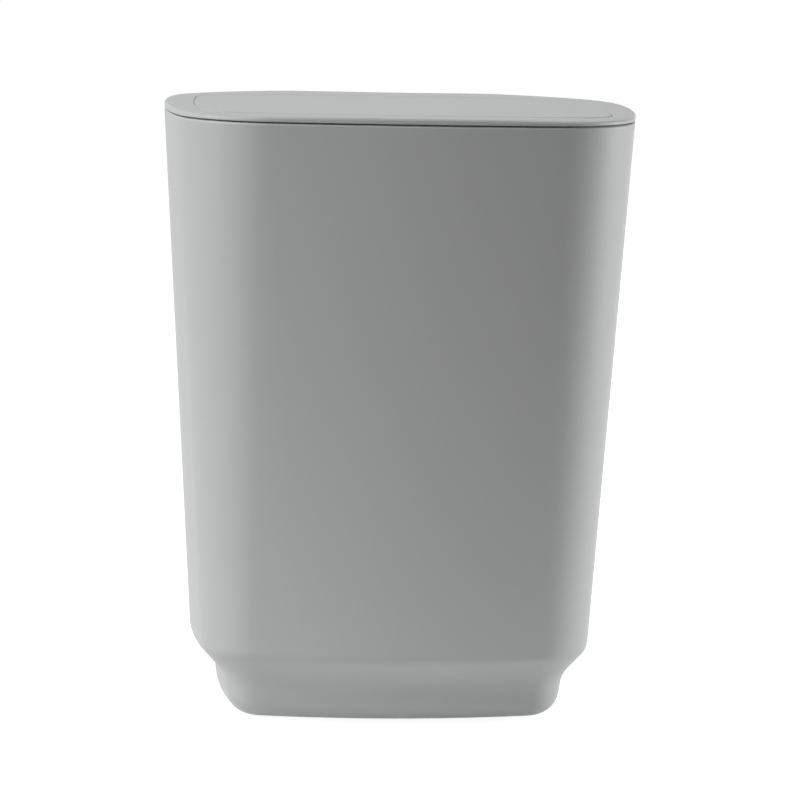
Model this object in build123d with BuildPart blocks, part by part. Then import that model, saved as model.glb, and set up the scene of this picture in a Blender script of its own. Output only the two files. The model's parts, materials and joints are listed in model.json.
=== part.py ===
"""A countertop kitchen bin with a press-to-open top.

The bin body is one tapered moulding that steps in to a smaller foot. A lift-off lid frame plugs
into its mouth. The frame carries a flush flap on two gooseneck arms, their pins and torsion
springs, and a magnetic push latch under the flap's front edge. Pressing the flap down releases
the latch, and the springs swing the flap up and back over the rear strip of the frame.

Millimetres. +Z is up, the front is towards -Y, and the origin is on the worktop under the middle
of the bin.
"""
import os
from math import atan2, cos, degrees, hypot, radians, sin, sqrt

from build123d import *

os.makedirs("parts", exist_ok=True)

# ---------------------------------------------------------------- bin body
top_width = 176.0             # across the rim, side to side
top_depth = 142.0             # across the rim, front to back
side_radius = 195.0           # bulge of the left and right sides, seen from above
end_radius = 510.0            # flatter bulge of the front and the back
corner_radius = 36.0          # upright corners, at the rim
body_height = 224.7           # base of the moulding to the rim
wall = 2.4                    # wall and floor of the body
shoulder_inset = 12.0         # how far the wall has drawn in where the shoulder starts
shoulder_height = 26.1        # height of that place above the base
shoulder_radius = 6.9         # rounding over the top of the shoulder
foot_top_inset = 21.3         # how far the foot is set in below the shoulder
foot_top_height = 15.6        # height of the foot's upper end
foot_hollow_radius = 13.0     # hollow sweep from the shoulder down to the foot
foot_inset = 23.1             # how far the foot is set in at the base
foot_rounding = 9.7           # rounding from the foot down to the base
rim_rounding = 0.8            # outer edge of the rim

# ---------------------------------------------------------------- rubber feet
foot_pad_radius = 6.0
foot_pad_stand = 0.8          # how far a pad stands out below the base
foot_pad_recess = 0.8         # how deep it is let into the floor
foot_pad_clearance = 0.1
foot_pad_inset_x = 44.0       # pad centre to the rim outline, side to side
foot_pad_inset_y = 43.5       # pad centre to the rim outline, front to back

# ---------------------------------------------------------------- lid frame
lid_gap = 0.5                 # shadow gap between the rim and the lid's outer lip
lid_edge_height = 2.2         # lip of the lid, above the shadow gap
lid_edge_rounding = 1.0       # outer edge of the lid's top
lid_edge_fall_width = 5.0     # the top falls away gently to the edge over this width
lid_edge_fall_height = 0.2    # and by this much
lid_edge_under_rounding = 0.25
lid_plate = 2.2               # thickness of the frame's top plate
land_setback = 1.5            # the lid's seat on the rim starts this far in
plug_clearance = 0.25         # between the plug skirt and the body's inner wall
plug_wall = 1.8
plug_depth = 12.0             # skirt below the rim
side_strip = 11.0             # frame beside the flap
front_strip = 12.0            # frame in front of the flap
rear_strip = 27.5             # wider frame behind the flap, over the hinges
opening_side_radius = 400.0   # bulge of the opening's left and right sides
opening_end_radius = 500.0    # bulge of its front and rear edges
opening_corner_radius = 18.0
collar_wall = 1.6             # rib that hangs around the opening
collar_depth = 7.5            # from the lid's top down
seam_rounding = 0.3           # edges of the frame and of the flap along the seam

# ---------------------------------------------------------------- flap
flap_front_gap = 1.4          # seam in front of the flap
flap_rear_gap = 1.0           # behind it
flap_side_gap = 0.4           # and on each side
flap_plate = 2.0
flap_under_chamfer = 0.6      # lets the rear edge swing past the frame
flap_depth = 6.0              # top of the flap to the bottom of its skirt
skirt_setback = 1.0           # skirt behind the flap's edge
skirt_wall = 1.6
liner_thickness = 1.4
liner_clearance = 0.15

# ---------------------------------------------------------------- hinges
hinge_setback = 16.0          # pivot behind the flap's rear edge
hinge_depth = 8.0             # pivot below the lid's top
open_angle = 80.0             # the flap's swing from closed to fully open
press_angle = 1.2             # the press that releases the latch
arm_spacing = 76.0            # between the two arms, centre to centre
arm_width = 5.0
arm_limb = 3.0                # thickness of an arm, seen from the side
arm_limb_offset = 0.4         # the rear limb stands this far in front of the pivot
arm_bend_radius = 4.5
arm_clearance = 0.8           # between a swinging arm and the edge of the rear strip
arm_foot_width = 12.0
arm_foot_length = 16.0
arm_foot_thickness = 2.2
pivot_boss_radius = 3.2
pin_radius = 1.25
pin_clearance = 0.05
pin_head_radius = 2.4
pin_head_height = 0.8
pin_tail = 1.4                # pin beyond the outer lug
clip_thickness = 0.6
clip_radius = 2.3
clip_groove_radius = 0.95
clip_clearance = 0.02
lug_thickness = 2.5
side_play = 0.3               # along the pin, between arm, spring and lugs
spring_wire_radius = 0.4
spring_coil_clearance = 0.35  # between a coil and its pin
spring_turns = 5
spring_pitch = 0.86
spring_leg = 9.0              # leg that pushes the arm
spring_tip = 3.2              # bent end of that leg, behind the arm
spring_seat_gap = 0.3         # the other leg's end, below the plate
spring_end_room = 0.5         # more room beside the inner lug, for the slanting leg

# ---------------------------------------------------------------- screws
screw_radius = 0.9
screw_clearance = 0.35        # in the piece that a screw holds
pilot_clearance = 0.02        # in the boss that it bites into
screw_head_radius = 1.9
screw_head_height = 1.3
screw_recess_width = 0.5
screw_recess_depth = 0.7
screw_bite = 3.2              # thread in the boss
boss_radius = 2.6

# ---------------------------------------------------------------- push latch
latch_to_front = 9.0          # latch centre behind the opening's front edge
strike_width = 26.0
strike_length = 10.0
strike_thickness = 1.0
strike_screw_spacing = 20.0
magnet_radius = 3.0
magnet_height = 2.6
magnet_stand = 0.2            # magnet proud of the slider
magnet_gap = 0.25             # below the strike plate
magnet_clearance = 0.05
slider_width = 10.0
slider_length = 9.0
slider_height = 20.0
slider_clearance = 0.08
housing_wall = 2.4
housing_floor = 1.6
latch_spare_travel = 0.6      # room left when the flap is fully pressed
flange_thickness = 2.6
flange_half_width = 14.5
flange_lap = 2.0              # flange over the housing's front wall
flange_skirt_gap = 0.8        # flange to the plug skirt
latch_screw_spacing = 22.0
latch_boss_radius = 2.2
latch_spring_radius = 2.2     # middle of the wire
latch_spring_wire_radius = 0.3
latch_spring_pocket_radius = 2.8
latch_spring_pocket_depth = 8.0
latch_spring_turns = 6
cam_rest_depth = 7.6          # resting place of the cam follower, below the slider's top
cam_depth = 1.2               # groove in the slider's front
cam_width = 6.0
cam_play = 0.5                # groove beyond the follower when the flap is fully pressed
cam_below_heart = 2.0
heart_width = 2.6
heart_height = 3.0
heart_notch = 0.9
wire_radius = 0.4             # cam follower
wire_clearance = 0.1
wire_run = 11.0               # between its two bent ends
wire_bend_radius = 0.9
cover_thickness = 1.2
cover_height = 17.0
cover_peg_radius = 1.0
cover_peg_spacing = 11.0
cover_peg_length = 1.8
cover_drop = 1.2              # cover below the flange

# ---------------------------------------------------------------- press buffers
buffer_spacing = 60.0
buffer_radius = 2.0
buffer_height = 1.2
buffer_gap = 0.1              # left when the flap is fully pressed
ledge_thickness = 1.4
ledge_width = 8.0
ledge_reach = 5.5


# ================================================================ outlines and rings
def plan_arcs(width, depth, side, end, corner, centre_y=0.0):
    """Eight arcs of a rectangle with bulging sides and ends: centre, radius, start and sweep of each."""
    across = side - width / 2
    along = end - depth / 2
    span = hypot(across, along)
    to_side = side - corner
    to_end = end - corner
    part = (to_side**2 - to_end**2 + span**2) / (2 * span)
    rise = sqrt(to_side**2 - part**2)
    corner_x = (part * across + rise * along) / span - across
    corner_y = (rise * across - part * along) / span
    side_half = degrees(atan2(corner_y, corner_x + across))
    end_half = degrees(atan2(corner_x, corner_y + along))
    corner_sweep = 90 - side_half - end_half
    arcs = []
    for turn in (0, 180):
        sign = 1 if turn == 0 else -1
        arcs.append(((-sign * across, centre_y), side, turn - side_half, 2 * side_half))
        place = (sign * corner_x, centre_y + sign * corner_y)
        arcs.append((place, corner, turn + side_half, corner_sweep))
        place = (0, centre_y - sign * along)
        arcs.append((place, end, turn + 90 - end_half, 2 * end_half))
        place = (-sign * corner_x, centre_y + sign * corner_y)
        arcs.append((place, corner, turn + 90 + end_half, corner_sweep))
    return arcs


def outline(arcs, inset=0.0, mode=Mode.ADD):
    """Face inside a plan's arcs, drawn in by an inset, in the sketch that is open."""
    with BuildLine() as loop:
        for centre, radius, start, sweep in arcs:
            CenterArc(centre, radius - inset, start, sweep)
    make_face(loop.edges(), mode=mode)


def carry_round(arcs, section, mode=Mode.ADD):
    """Carry a section round a plan. Its x runs inwards from the plan's edge, its y runs up."""
    for (centre_x, centre_y), radius, start, sweep in arcs:
        out = Vector(cos(radians(start)), sin(radians(start)))
        centre = Vector(centre_x, centre_y)
        place = Plane(centre + out * radius, x_dir=-out, z_dir=Vector(-out.Y, out.X))
        with BuildSketch(place) as profile:
            add(section)
        revolve(profile.sketch, Axis(centre, (0, 0, 1)), revolution_arc=sweep, mode=mode)


def box_between(low, high, mode=Mode.ADD):
    """Box from its lowest corner to its highest."""
    size = [high[axis] - low[axis] for axis in range(3)]
    middle = [(high[axis] + low[axis]) / 2 for axis in range(3)]
    with Locations(tuple(middle)):
        Box(*size, mode=mode)


def rod(start, direction, radius, length, mode=Mode.ADD):
    """Round rod or bore from a start point."""
    with Locations(Plane(origin=start, z_dir=direction)):
        Cylinder(radius, length, align=(Align.CENTER, Align.CENTER, Align.MIN), mode=mode)


def screws_from_below(places, head_seat, length):
    """Cross-head screws driven upwards, with their heads under the seat."""
    with BuildPart() as screws:
        for x, y in places:
            head_bottom = head_seat - screw_head_height
            rod((x, y, head_bottom), (0, 0, 1), screw_head_radius, screw_head_height)
            rod((x, y, head_seat), (0, 0, 1), screw_radius, length)
            for long_x, long_y in ((2 * screw_radius, screw_recess_width), (screw_recess_width, 2 * screw_radius)):
                low = (x - long_x / 2, y - long_y / 2, head_bottom)
                high = (x + long_x / 2, y + long_y / 2, head_bottom + screw_recess_depth)
                box_between(low, high, mode=Mode.SUBTRACT)
    return screws.part


def mirrored(part):
    """The same piece on the other side of the bin's middle plane."""
    return mirror(part, about=Plane.YZ)


# ================================================================ levels and places
base_z = foot_pad_stand
rim_z = base_z + body_height
lid_top = rim_z + lid_gap + lid_edge_height
lid_under = lid_top - lid_plate
collar_bottom = lid_top - collar_depth
flap_under = lid_top - flap_plate
flap_bottom = lid_top - flap_depth
liner_top = flap_bottom + liner_thickness

wall_height = body_height - shoulder_height
taper = shoulder_inset / wall_height                  # draw-in of the wall for each mm down
plan = plan_arcs(top_width, top_depth, side_radius, end_radius, corner_radius)

opening_width = top_width - 2 * side_strip
opening_depth = top_depth - front_strip - rear_strip
opening_y = (front_strip - rear_strip) / 2
opening_front = opening_y - opening_depth / 2
opening_rear = opening_y + opening_depth / 2
opening = plan_arcs(
    opening_width, opening_depth, opening_side_radius, opening_end_radius, opening_corner_radius, opening_y
)

flap_width = opening_width - 2 * flap_side_gap
flap_length = opening_depth - flap_front_gap - flap_rear_gap
flap_y = opening_y + (flap_front_gap - flap_rear_gap) / 2
flap_corner_radius = opening_corner_radius - flap_side_gap
flap_plan = plan_arcs(
    flap_width, flap_length, opening_side_radius, opening_end_radius, flap_corner_radius, flap_y
)

pivot_y = opening_rear - flap_rear_gap + hinge_setback
pivot_z = lid_top - hinge_depth
foot_outer_x = arm_spacing / 2 + arm_foot_width / 2
strip_bulge = opening_end_radius - sqrt(opening_end_radius**2 - foot_outer_x**2)
strip_edge_y = opening_rear - strip_bulge - pivot_y   # the rear strip's front edge, from the pivot
edge_reach = hypot(strip_edge_y, hinge_depth)
edge_end_angle = radians(degrees(atan2(hinge_depth, strip_edge_y)) + open_angle)
under_edge_height = hinge_depth - lid_plate
under_edge_reach = hypot(strip_edge_y, under_edge_height)
under_edge_end_angle = radians(degrees(atan2(under_edge_height, strip_edge_y)) + open_angle)
arm_drop = arm_clearance - min(
    edge_reach * sin(edge_end_angle), under_edge_reach * sin(under_edge_end_angle)
)
arm_front = edge_reach + arm_clearance                # the arm's front limb, in front of the pivot
arm_x = arm_spacing / 2
skirt_rear = pivot_y - arm_front

latch_y = opening_front + latch_to_front
press_travel = (pivot_y - latch_y) * sin(radians(press_angle))
strike_bottom = flap_bottom - strike_thickness
magnet_top = strike_bottom - magnet_gap
slider_top = magnet_top - magnet_stand
slider_bottom = slider_top - slider_height
housing_top = slider_top - press_travel - latch_spare_travel
housing_inside = slider_bottom - press_travel - latch_spare_travel
housing_bottom = housing_inside - housing_floor
housing_front = latch_y - slider_length / 2 - slider_clearance - housing_wall

# ================================================================ bin body
with BuildSketch() as wall_section:
    core_inset = foot_inset + foot_rounding
    with BuildLine():
        outside = FilletPolyline(
            (core_inset, base_z),
            (foot_inset, base_z),
            (foot_top_inset, base_z + foot_top_height),
            (shoulder_inset, base_z + shoulder_height),
            (-taper * wall, rim_z + wall),
            radius=[foot_rounding, foot_hollow_radius, shoulder_radius],
        )
        offset(outside, amount=wall, side=Side.RIGHT)
    make_face()
    with Locations((0, rim_z)):
        Rectangle(4 * core_inset, 2 * wall, align=(Align.CENTER, Align.MIN), mode=Mode.SUBTRACT)
    rim_corner = wall_section.vertices().group_by(Axis.Y)[-1].sort_by(Axis.X)[0]
    fillet(rim_corner, rim_rounding)

with BuildPart() as bin_body:
    carry_round(plan, wall_section.sketch)
    with BuildSketch(Plane.XY.offset(base_z)):
        outline(plan, core_inset)
    extrude(amount=wall)
    foot_pad_x = top_width / 2 - foot_pad_inset_x
    foot_pad_y = top_depth / 2 - foot_pad_inset_y
    pad_places = [(sx * foot_pad_x, sy * foot_pad_y) for sx in (-1, 1) for sy in (-1, 1)]
    for x, y in pad_places:
        pocket_radius = foot_pad_radius + foot_pad_clearance
        rod((x, y, base_z), (0, 0, 1), pocket_radius, foot_pad_recess, mode=Mode.SUBTRACT)
bin_body.part.label = "bin_body"
export_step(bin_body.part, "parts/bin_body.step")

with BuildPart() as foot_pads:
    for x, y in pad_places:
        rod((x, y, 0), (0, 0, 1), foot_pad_radius, foot_pad_stand + foot_pad_recess)
    fillet(foot_pads.edges().group_by(Axis.Z)[0], foot_pad_stand / 2)
foot_pads.part.label = "foot_pads"
export_step(foot_pads.part, "parts/foot_pads.step")

# ================================================================ lid frame
plug_outer = wall + plug_clearance                    # plug skirt's outer face at the rim
plug_foot = plug_outer + taper * plug_depth
plate_lap = lid_edge_fall_width + 0.2                 # the edge section reaches in to here
with BuildSketch() as edge_section:
    fall_end = lid_top - lid_edge_fall_height
    lip_bottom = rim_z + lid_gap
    with BuildLine():
        Line((0, fall_end), (0, lip_bottom))
        Line((0, lip_bottom), (land_setback, lip_bottom))
        Line((land_setback, lip_bottom), (land_setback, rim_z))
        Line((land_setback, rim_z), (plug_outer, rim_z))
        Line((plug_outer, rim_z), (plug_foot, rim_z - plug_depth))
        Line((plug_foot, rim_z - plug_depth), (plug_foot + plug_wall, rim_z - plug_depth))
        Line((plug_foot + plug_wall, rim_z - plug_depth), (plug_outer + plug_wall, lid_under))
        Line((plug_outer + plug_wall, lid_under), (plate_lap, lid_under))
        Line((plate_lap, lid_under), (plate_lap, lid_top))
        Line((plate_lap, lid_top), (lid_edge_fall_width, lid_top))
        TangentArc((lid_edge_fall_width, lid_top), (0, fall_end), tangent=(-1, 0))
    make_face()
    lid_corner = edge_section.vertices().sort_by_distance((0, fall_end))[0]
    fillet(lid_corner, lid_edge_rounding)
    lip_corner = edge_section.vertices().sort_by_distance((0, lip_bottom))[0]
    fillet(lip_corner, lid_edge_under_rounding)

arm_notch = arm_width / 2 + arm_clearance
lug_outer_x = arm_x + arm_width / 2 + side_play       # inner face of the outer lug
coil_length = spring_turns * spring_pitch + 2 * spring_wire_radius
coil_outer_x = arm_x - arm_width / 2 - side_play      # the coil's end beside the arm
lug_inner_x = coil_outer_x - coil_length - side_play - spring_end_room  # inner lug's outer face
latch_screw_y = opening_front - latch_boss_radius
latch_screw_places = [(side * latch_screw_spacing / 2, latch_screw_y) for side in (-1, 1)]
press_drop = (pivot_y - opening_front - ledge_reach) * sin(radians(press_angle))
buffer_top = flap_bottom - press_drop - buffer_gap - flap_front_gap * sin(radians(press_angle))
ledge_top = buffer_top - buffer_height
buffer_x = buffer_spacing / 2
bulge_at_buffer = opening_end_radius - sqrt(opening_end_radius**2 - buffer_x**2)
ledge_back = opening_front + bulge_at_buffer          # the opening's edge beside a ledge
buffer_y = ledge_back + skirt_setback + flap_front_gap + buffer_radius / 2

with BuildPart() as lid_frame:
    with BuildSketch(Plane.XY.offset(lid_under)):
        outline(plan, plate_lap)
        outline(opening, mode=Mode.SUBTRACT)
    extrude(amount=lid_plate)
    fillet(lid_frame.faces().sort_by(Axis.Z)[-1].inner_wires()[0].edges(), seam_rounding)
    carry_round(plan, edge_section.sketch)
    with BuildSketch(Plane.XY.offset(collar_bottom)):
        outline(opening, -collar_wall)
        outline(opening, mode=Mode.SUBTRACT)
    extrude(amount=lid_under - collar_bottom)
    for side in (-1, 1):
        # notch in the rear collar, where the arm swings through
        notch_front = opening_rear - strip_bulge - collar_wall
        low = (side * arm_x - arm_notch, notch_front, collar_bottom - collar_wall)
        high = (side * arm_x + arm_notch, opening_rear + 2 * collar_wall, lid_under)
        box_between(low, high, mode=Mode.SUBTRACT)
        # the two lugs that carry the pin
        for face_x in (lug_outer_x, lug_inner_x - lug_thickness):
            with BuildSketch(Plane.YZ.offset(min(side * face_x, side * (face_x + lug_thickness)))):
                with Locations((pivot_y, pivot_z)):
                    Circle(pivot_boss_radius)
                    lug_height = lid_under - pivot_z
                    Rectangle(2 * pivot_boss_radius, lug_height, align=(Align.CENTER, Align.MIN))
                with Locations((pivot_y, pivot_z)):
                    Circle(pin_radius + pin_clearance, mode=Mode.SUBTRACT)
            extrude(amount=lug_thickness)
        # ledge under the flap's front edge, for a press buffer
        ledge_low = (side * buffer_x - ledge_width / 2, ledge_back - collar_wall, ledge_top - ledge_thickness)
        ledge_high = (side * buffer_x + ledge_width / 2, ledge_back + ledge_reach, ledge_top)
        box_between(ledge_low, ledge_high)
        stem_high = (ledge_high[0], ledge_back - collar_wall / 4, collar_bottom)
        box_between(ledge_low, stem_high)
    for x, y in latch_screw_places:
        rod((x, y, housing_top), (0, 0, 1), latch_boss_radius, lid_under - housing_top)
    for x, y in latch_screw_places:
        pilot_radius = screw_radius + pilot_clearance
        rod((x, y, housing_top), (0, 0, 1), pilot_radius, screw_bite + 0.3, mode=Mode.SUBTRACT)
lid_frame.part.label = "lid_frame"
export_step(lid_frame.part, "parts/lid_frame.step")

with BuildPart() as flap_buffers:
    for side in (-1, 1):
        rod((side * buffer_x, buffer_y, ledge_top), (0, 0, 1), buffer_radius, buffer_height)
    fillet(flap_buffers.edges().group_by(Axis.Z)[-1], buffer_radius / 5)
flap_buffers.part.label = "flap_buffers"
export_step(flap_buffers.part, "parts/flap_buffers.step")

# ================================================================ flap
arm_screw_places = []
for side in (-1, 1):
    for share in (0.42, 0.78):
        arm_screw_places.append((side * arm_x, skirt_rear - share * arm_foot_length))
liner_screw_x = opening_width / 2 - 18.0
liner_screw_places = []
for side in (-1, 1):
    for y in (opening_front + 16.0, opening_y + 4.0):
        liner_screw_places.append((side * liner_screw_x, y))
strike_screw_places = [(side * strike_screw_spacing / 2, latch_y) for side in (-1, 1)]

with BuildSketch() as skirt_outline:
    outline(flap_plan, skirt_setback)
    with Locations((0, skirt_rear)):
        Rectangle(opening_width, opening_depth * 2, align=(Align.CENTER, Align.MAX), mode=Mode.INTERSECT)

with BuildPart() as push_flap:
    with BuildSketch(Plane.XY.offset(flap_under)):
        outline(flap_plan)
    extrude(amount=flap_plate)
    fillet(push_flap.faces().sort_by(Axis.Z)[-1].edges(), seam_rounding)
    chamfer(push_flap.faces().sort_by(Axis.Z)[0].edges(), flap_under_chamfer)
    with BuildSketch(Plane.XY.offset(flap_bottom)):
        add(skirt_outline.sketch)
        offset(skirt_outline.sketch, amount=-skirt_wall, mode=Mode.SUBTRACT)
    extrude(amount=flap_under - flap_bottom)
    for x, y in arm_screw_places + liner_screw_places + strike_screw_places:
        rod((x, y, liner_top), (0, 0, 1), boss_radius, flap_under - liner_top)
    for x, y in arm_screw_places + liner_screw_places + strike_screw_places:
        pilot_radius = screw_radius + pilot_clearance
        rod((x, y, liner_top), (0, 0, 1), pilot_radius, screw_bite + 0.2, mode=Mode.SUBTRACT)
push_flap.part.label = "push_flap"
export_step(push_flap.part, "parts/push_flap.step")

with BuildPart() as flap_liner:
    with BuildSketch(Plane.XY.offset(flap_bottom)):
        offset(skirt_outline.sketch, amount=-skirt_wall - liner_clearance)
    extrude(amount=liner_thickness)
    for x, y in arm_screw_places + liner_screw_places + strike_screw_places:
        hole_radius = screw_radius + screw_clearance
        rod((x, y, flap_bottom), (0, 0, 1), hole_radius, liner_thickness, mode=Mode.SUBTRACT)
flap_liner.part.label = "flap_liner"
export_step(flap_liner.part, "parts/flap_liner.step")

liner_screws = screws_from_below(liner_screw_places, flap_bottom, liner_thickness + screw_bite)
liner_screws.label = "liner_screws"
export_step(liner_screws, "parts/liner_screws.step")

with BuildPart() as strike_plate:
    with BuildSketch(Plane.XY.offset(strike_bottom)):
        with Locations((0, latch_y)):
            RectangleRounded(strike_width, strike_length, strike_length / 4)
        with Locations(*strike_screw_places):
            Circle(screw_radius + screw_clearance, mode=Mode.SUBTRACT)
    extrude(amount=strike_thickness)
strike_plate.part.label = "strike_plate"
export_step(strike_plate.part, "parts/strike_plate.step")

strike_screw_length = strike_thickness + liner_thickness + screw_bite
strike_screws = screws_from_below(strike_screw_places, strike_bottom, strike_screw_length)
strike_screws.label = "strike_screws"
export_step(strike_screws, "parts/strike_screws.step")

# ================================================================ hinges
foot_bottom = flap_bottom - arm_foot_thickness
with BuildPart() as hinge_arm_right:
    limb_y = pivot_y - arm_limb_offset
    low_z = pivot_z - arm_drop - arm_limb / 2
    front_y = pivot_y - arm_front - arm_limb / 2
    with BuildSketch(Plane.YZ.offset(arm_x - arm_width / 2)):
        with BuildLine():
            FilletPolyline(
                (limb_y, pivot_z),
                (limb_y, low_z),
                (front_y, low_z),
                (front_y, foot_bottom + arm_foot_thickness / 2),
                radius=arm_bend_radius,
            )
        trace(line_width=arm_limb)
        with Locations((pivot_y, pivot_z)):
            Circle(pivot_boss_radius)
            Circle(pin_radius + pin_clearance, mode=Mode.SUBTRACT)
    extrude(amount=arm_width)
    foot_low = (arm_x - arm_foot_width / 2, skirt_rear - arm_foot_length, foot_bottom)
    foot_high = (arm_x + arm_foot_width / 2, skirt_rear, flap_bottom)
    box_between(foot_low, foot_high)
    for x, y in arm_screw_places[2:]:
        hole_radius = screw_radius + screw_clearance
        rod((x, y, foot_bottom), (0, 0, 1), hole_radius, arm_foot_thickness, mode=Mode.SUBTRACT)
hinge_arm_right.part.label = "hinge_arm_right"
export_step(hinge_arm_right.part, "parts/hinge_arm_right.step")

hinge_arm_left = mirrored(hinge_arm_right.part)
hinge_arm_left.label = "hinge_arm_left"
export_step(hinge_arm_left, "parts/hinge_arm_left.step")

arm_screw_length = arm_foot_thickness + liner_thickness + screw_bite
arm_screws = screws_from_below(arm_screw_places, foot_bottom, arm_screw_length)
arm_screws.label = "arm_screws"
export_step(arm_screws, "parts/arm_screws.step")

pin_start = lug_inner_x - lug_thickness
pin_end = lug_outer_x + lug_thickness + pin_tail
clip_x = lug_outer_x + lug_thickness + clip_clearance
with BuildPart() as hinge_pin_right:
    rod((pin_start, pivot_y, pivot_z), (1, 0, 0), pin_radius, pin_end - pin_start)
    rod((pin_start, pivot_y, pivot_z), (-1, 0, 0), pin_head_radius, pin_head_height)
    fillet(hinge_pin_right.edges().group_by(Axis.X)[0], pin_head_height / 3)
    with BuildSketch(Plane.YZ.offset(clip_x - clip_clearance)):
        with Locations((pivot_y, pivot_z)):
            Circle(pin_radius * 2)
            Circle(clip_groove_radius, mode=Mode.SUBTRACT)
    extrude(amount=clip_thickness + 2 * clip_clearance, mode=Mode.SUBTRACT)
hinge_pin_right.part.label = "hinge_pin_right"
export_step(hinge_pin_right.part, "parts/hinge_pin_right.step")

hinge_pin_left = mirrored(hinge_pin_right.part)
hinge_pin_left.label = "hinge_pin_left"
export_step(hinge_pin_left, "parts/hinge_pin_left.step")

with BuildPart() as pin_clips:
    for clip_low in (clip_x, -clip_x - clip_thickness):
        with BuildSketch(Plane.YZ.offset(clip_low)):
            with Locations((pivot_y, pivot_z)):
                Circle(clip_radius)
                Circle(clip_groove_radius + clip_clearance, mode=Mode.SUBTRACT)
            with Locations((pivot_y, pivot_z + clip_radius)):
                Rectangle(clip_groove_radius, 2 * clip_radius, mode=Mode.SUBTRACT)
        extrude(amount=clip_thickness)
pin_clips.part.label = "pin_clips"
export_step(pin_clips.part, "parts/pin_clips.step")

coil_radius = pin_radius + spring_coil_clearance + spring_wire_radius
coil_start = (coil_outer_x - spring_wire_radius, pivot_y, pivot_z)
coil_place = Plane(coil_start, x_dir=(0, 1, 0), z_dir=(-1, 0, 0))
coil = coil_place * Helix(spring_pitch, spring_turns * spring_pitch, coil_radius, lefthand=True)
leg_foot = coil @ 0 - (coil % 0) * spring_leg
seat_length = lid_under - spring_seat_gap - pivot_z
with BuildPart() as hinge_spring_right:
    with BuildLine() as spring_path:
        Line(leg_foot, coil @ 0)
        add(coil)
        Line(coil @ 1, coil @ 1 + (coil % 1) * seat_length)
    with BuildSketch(Plane(leg_foot, z_dir=coil % 0)):
        Circle(spring_wire_radius)
    sweep(path=spring_path.wires()[0])
    rod(leg_foot, (1, 0, 0), spring_wire_radius, spring_tip)
    with Locations(leg_foot):
        Sphere(spring_wire_radius)
hinge_spring_right.part.label = "hinge_spring_right"
export_step(hinge_spring_right.part, "parts/hinge_spring_right.step")

hinge_spring_left = mirrored(hinge_spring_right.part)
hinge_spring_left.label = "hinge_spring_left"
export_step(hinge_spring_left, "parts/hinge_spring_left.step")

# ================================================================ push latch
spring_pocket_top = slider_bottom + latch_spring_pocket_depth
slider_front = latch_y - slider_length / 2
wire_y = housing_front + wire_radius
wire_top_z = slider_top - cam_rest_depth
heart_z = wire_top_z - wire_radius - wire_clearance + heart_notch - heart_height / 2
cam_high = wire_top_z + wire_radius + press_travel + cam_play
cam_low = heart_z - heart_height / 2 - cam_below_heart
wire_foot_z = wire_top_z - wire_run
with BuildPart() as latch_slider:
    with BuildSketch(Plane.XY.offset(slider_bottom)):
        with Locations((0, latch_y)):
            Rectangle(slider_width, slider_length)
    extrude(amount=slider_height)
    fillet(latch_slider.edges().filter_by(Axis.Z), slider_length / 12)
    top = (0, latch_y, slider_top)
    rod(top, (0, 0, -1), magnet_radius + magnet_clearance, magnet_height - magnet_stand, mode=Mode.SUBTRACT)
    foot = (0, latch_y, slider_bottom)
    rod(foot, (0, 0, 1), latch_spring_pocket_radius, latch_spring_pocket_depth, mode=Mode.SUBTRACT)
    # the heart-shaped cam groove: a pocket around an island with a notch in its top
    with BuildSketch(Plane.XZ.offset(-slider_front)):
        with Locations((0, (cam_high + cam_low) / 2)):
            RectangleRounded(cam_width, cam_high - cam_low, cam_width / 4)
        with BuildLine():
            Polyline(
                (0, heart_z - heart_height / 2),
                (heart_width / 2, heart_z + heart_height / 6),
                (heart_width / 2, heart_z + heart_height / 2),
                (0, heart_z + heart_height / 2 - heart_notch),
                (-heart_width / 2, heart_z + heart_height / 2),
                (-heart_width / 2, heart_z + heart_height / 6),
                close=True,
            )
        make_face(mode=Mode.SUBTRACT)
    extrude(amount=-cam_depth, mode=Mode.SUBTRACT)
latch_slider.part.label = "latch_slider"
export_step(latch_slider.part, "parts/latch_slider.step")

with BuildPart() as latch_magnet:
    rod((0, latch_y, magnet_top), (0, 0, -1), magnet_radius, magnet_height)
    chamfer(latch_magnet.edges(), magnet_stand)
latch_magnet.part.label = "latch_magnet"
export_step(latch_magnet.part, "parts/latch_magnet.step")

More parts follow.
